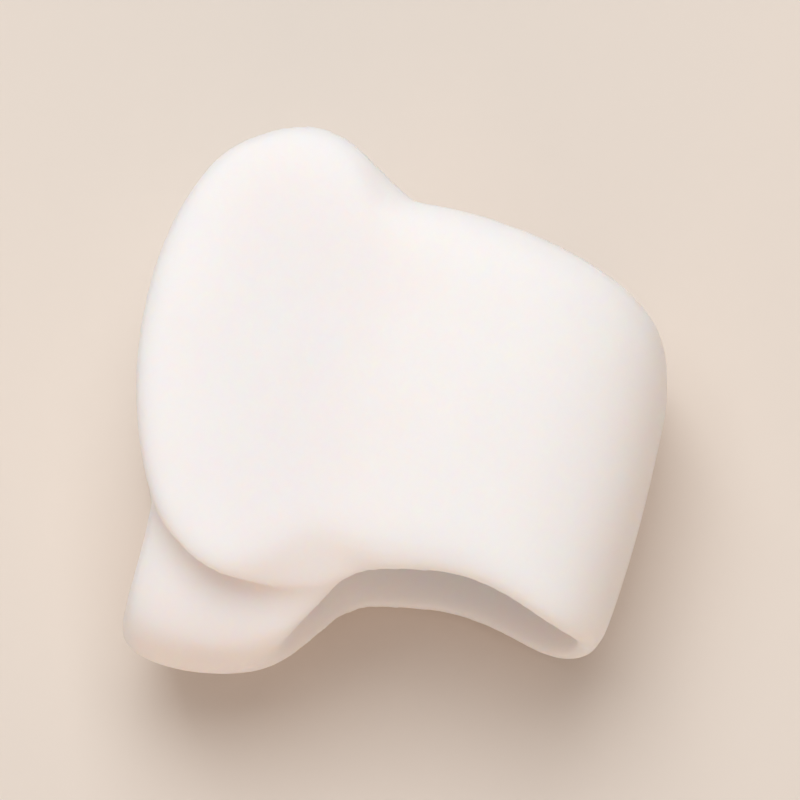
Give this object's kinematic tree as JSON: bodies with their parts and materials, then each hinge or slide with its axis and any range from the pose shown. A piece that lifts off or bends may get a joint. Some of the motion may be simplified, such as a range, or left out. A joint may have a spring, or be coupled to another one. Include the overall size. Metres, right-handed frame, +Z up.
{
  "type": "toe_separator",
  "caption": "Soft silicone gel toe separator: a loop for the second toe, beside a spool-shaped spacer with flanges and a short tail",
  "frame": {"origin": "middle of the flat face it lies on", "axes": "+X from the spacer to the outer side of the loop, +Y along the bore of the loop from its arched root end to its cut-back tip end, +Z up from the face it lies on, across the thickness"},
  "size_m": [0.0324, 0.0332, 0.0192],
  "materials": {
    "silicone_gel": "satin"
  },
  "bodies": {
    "root": {"toe_separator": "silicone_gel"}
  },
  "joints": []
}
